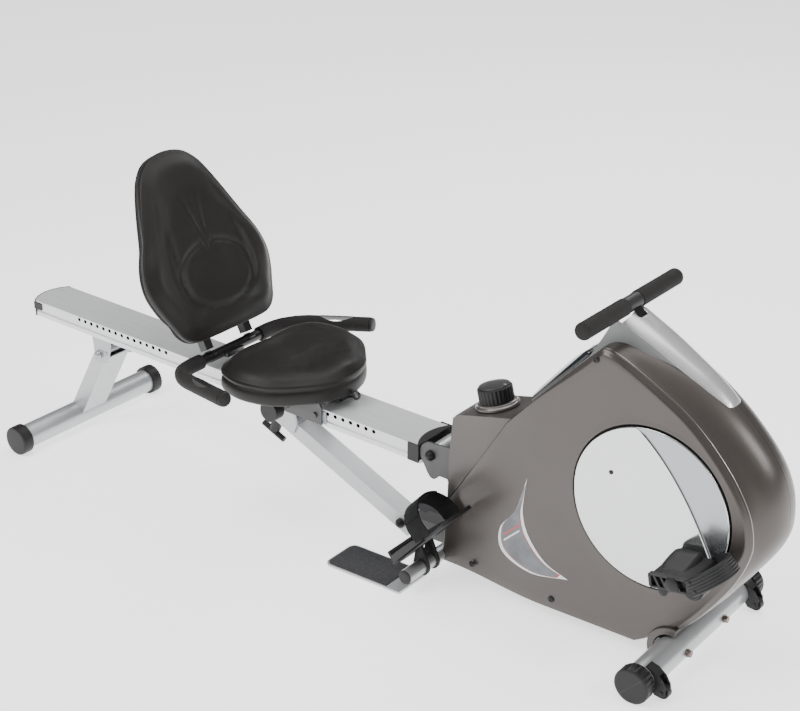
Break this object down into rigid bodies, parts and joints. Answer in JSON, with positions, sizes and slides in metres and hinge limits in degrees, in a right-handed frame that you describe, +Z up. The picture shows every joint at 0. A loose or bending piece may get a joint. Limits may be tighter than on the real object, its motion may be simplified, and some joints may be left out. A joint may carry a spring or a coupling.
{
  "type": "rowing machine",
  "caption": "Folding recumbent rower: sliding padded seat with backrest on a sloped rail, strap-pull handle, hinged foot pads and a pedal crank in a moulded drive housing.",
  "frame": {"origin": "on the floor, below the middle of the machine's overall box", "axes": "+X along the rail towards the drive housing, +Y to the left of a seated rider, +Z up"},
  "size_m": [2.0588, 0.532, 0.7927],
  "materials": {
    "dark_steel": "satin",
    "silver_paint": "satin metallic",
    "black_plastic": "moulded",
    "housing_plastic": "metallic grey",
    "silver_plastic": "silver",
    "console_plastic": "dark",
    "screen": "display window",
    "steel": "zinc plated",
    "belt_rubber": "ribbed",
    "wheel_rubber": "moulded",
    "knob_plastic": "ribbed",
    "button_plastic": "red",
    "disc_plastic": "polished silver",
    "pulley_plastic": "moulded",
    "flywheel_iron": "machined",
    "foam": "foam",
    "webbing": "woven",
    "pedal_plastic": "moulded",
    "strap_rubber": "ribbed",
    "rail_aluminium": "brushed, anodised",
    "glide_plastic": "translucent",
    "vinyl": "padded vinyl",
    "black_paint": "powder coat",
    "plate_chrome": "plated",
    "roller_plastic": "nylon"
  },
  "bodies": {
    "base": {"main_frame": "dark_steel", "front_stabilizer": "silver_paint", "base_end_caps": "black_plastic", "wheel_brackets": "black_plastic", "base_fasteners": "dark_steel", "left_shell": "housing_plastic", "right_shell": "housing_plastic", "rear_cover": "housing_plastic", "top_fin": "silver_plastic", "console": "console_plastic", "console_screen": "screen", "knob_base": "silver_plastic", "foot_tube": "silver_paint", "step_plates": "silver_paint", "pivot_bolts": "black_plastic", "crank_bearings": "steel", "drive_belt": "belt_rubber"},
    "wheel_right": {"wheel_right": "wheel_rubber"},
    "wheel_left": {"wheel_left": "wheel_rubber"},
    "tension_knob": {"tension_knob": "knob_plastic"},
    "mode_button": {"mode_button": "button_plastic"},
    "crank": {"crank_axle": "steel", "crank_arms": "steel", "crank_discs": "disc_plastic", "drive_pulley": "pulley_plastic"},
    "flywheel": {"flywheel": "flywheel_iron"},
    "magnet_carrier": {"magnet_carrier": "steel"},
    "strap_spool": {"strap_spool": "pulley_plastic"},
    "row_handle": {"row_bar": "dark_steel", "row_grip": "foam", "strap_clip": "black_plastic", "pull_strap": "webbing"},
    "foot_pad_right": {"foot_pad_right": "pedal_plastic", "foot_strap_right": "webbing"},
    "foot_pad_left": {"foot_pad_left": "pedal_plastic", "foot_strap_left": "webbing"},
    "pedal_right": {"pedal_right": "pedal_plastic", "pedal_strap_right": "strap_rubber"},
    "pedal_left": {"pedal_left": "pedal_plastic", "pedal_strap_left": "strap_rubber"},
    "strut": {"strut": "silver_paint"},
    "strut_latch": {"strut_latch": "black_plastic"},
    "rail": {"rail": "rail_aluminium", "rail_brackets": "silver_paint", "rail_end_caps": "black_plastic"},
    "rear_leg": {"rear_leg": "silver_paint", "rear_stabilizer": "silver_paint", "rear_end_caps": "black_plastic"},
    "seat": {"seat_carriage": "dark_steel", "seat_glides": "glide_plastic", "seat_pad": "vinyl", "backrest_frame": "black_paint", "backrest_pad": "vinyl", "handlebar": "black_paint", "bar_grips": "foam", "pulse_plates": "plate_chrome", "strap_hook": "black_paint"},
    "front_rollers": {"front_rollers": "roller_plastic"},
    "rear_rollers": {"rear_rollers": "roller_plastic"},
    "seat_lock": {"seat_lock": "black_plastic"}
  },
  "joints": [
    {"name": "wheel_right_spin", "type": "hinge", "parent": "base", "child": "wheel_right", "pos_m": [0.8855, -0.187, 0.019], "axis": [0, 1, 0], "continuous": true},
    {"name": "wheel_left_spin", "type": "hinge", "parent": "base", "child": "wheel_left", "pos_m": [0.8855, 0.187, 0.019], "axis": [0, 1, 0], "continuous": true},
    {"name": "tension_turn", "type": "hinge", "parent": "base", "child": "tension_knob", "pos_m": [0.3775, 0, 0.3985], "axis": [-0.2052, 0, 0.9787], "range_deg": [0, 270]},
    {"name": "magnet_swing", "type": "hinge", "parent": "base", "child": "magnet_carrier", "pos_m": [0.3955, 0, 0.2], "axis": [0, -1, 0], "range_deg": [0, 8]},
    {"name": "mode_press", "type": "slide", "parent": "base", "child": "mode_button", "axis": [0.7242, 0, -0.6896], "range_m": [0, 0.002], "stiffness_N_per_m": 800, "springref_m": -0.0008},
    {"name": "crank_spin", "type": "hinge", "parent": "base", "child": "crank", "pos_m": [0.7845, 0, 0.328], "axis": [0, 1, 0], "continuous": true},
    {"name": "flywheel_spin", "type": "hinge", "parent": "base", "child": "flywheel", "pos_m": [0.5175, 0, 0.195], "axis": [0, 1, 0], "continuous": true},
    {"name": "pedal_right_spin", "type": "hinge", "parent": "crank", "child": "pedal_right", "pos_m": [0.89558, -0.146, 0.25669], "axis": [0, 1, 0], "continuous": true},
    {"name": "pedal_left_spin", "type": "hinge", "parent": "crank", "child": "pedal_left", "pos_m": [0.67342, 0.146, 0.39931], "axis": [0, 1, 0], "continuous": true},
    {"name": "handle_pull", "type": "slide", "parent": "base", "child": "row_handle", "axis": [-1, 0, 0], "range_m": [0, 0.85], "stiffness_N_per_m": 40, "springref_m": -0.4, "deforming": ["pull_strap"]},
    {"name": "spool_turn", "type": "hinge", "parent": "base", "child": "strap_spool", "pos_m": [0.6375, 0, 0.47], "axis": [0, -1, 0], "range_deg": [0, 1250]},
    {"name": "foot_pad_right_tilt", "type": "hinge", "parent": "base", "child": "foot_pad_right", "pos_m": [0.2645, -0.125, 0.04], "axis": [0, 1, 0], "range_deg": [-10, 20]},
    {"name": "foot_pad_left_tilt", "type": "hinge", "parent": "base", "child": "foot_pad_left", "pos_m": [0.2645, 0.125, 0.04], "axis": [0, 1, 0], "range_deg": [-10, 20]},
    {"name": "strut_fold", "type": "hinge", "parent": "base", "child": "strut", "pos_m": [0.1325, 0, 0.056], "axis": [0, -1, 0], "range_deg": [0, 18]},
    {"name": "latch_pull", "type": "slide", "parent": "strut", "child": "strut_latch", "axis": [-0.425, 0, -0.9052], "range_m": [0, 0.012], "stiffness_N_per_m": 1500, "springref_m": -0.003},
    {"name": "rail_fold", "type": "hinge", "parent": "base", "child": "rail", "pos_m": [0.2435, 0, 0.268], "axis": [0, 1, 0], "range_deg": [0, 75]},
    {"name": "leg_fold", "type": "hinge", "parent": "rail", "child": "rear_leg", "pos_m": [-0.7965, 0, 0.235], "axis": [0, -1, 0], "range_deg": [0, 115]},
    {"name": "seat_slide", "type": "slide", "parent": "rail", "child": "seat", "axis": [-0.999, 0, 0.0445], "range_m": [-0.2162, 0.6969]},
    {"name": "rear_rollers_roll", "type": "hinge", "parent": "seat", "child": "rear_rollers", "pos_m": [-0.20991, 0, 0.3116], "axis": [0, -1, 0], "continuous": true},
    {"name": "front_rollers_roll", "type": "hinge", "parent": "seat", "child": "front_rollers", "pos_m": [-0.07505, 0, 0.3056], "axis": [0, -1, 0], "continuous": true},
    {"name": "seat_lock_push", "type": "slide", "parent": "seat", "child": "seat_lock", "axis": [0, 1, 0], "range_m": [0, 0.012]}
  ],
  "couplings": [
    {"joint": "magnet_swing", "follows": "tension_turn", "ratio": 0.025926},
    {"joint": "flywheel_spin", "follows": "crank_spin", "ratio": 4.4},
    {"joint": "spool_turn", "follows": "handle_pull", "rad_per_m": 25},
    {"joint": "rear_rollers_roll", "follows": "seat_slide", "rad_per_m": 100},
    {"joint": "front_rollers_roll", "follows": "seat_slide", "rad_per_m": 100}
  ]
}
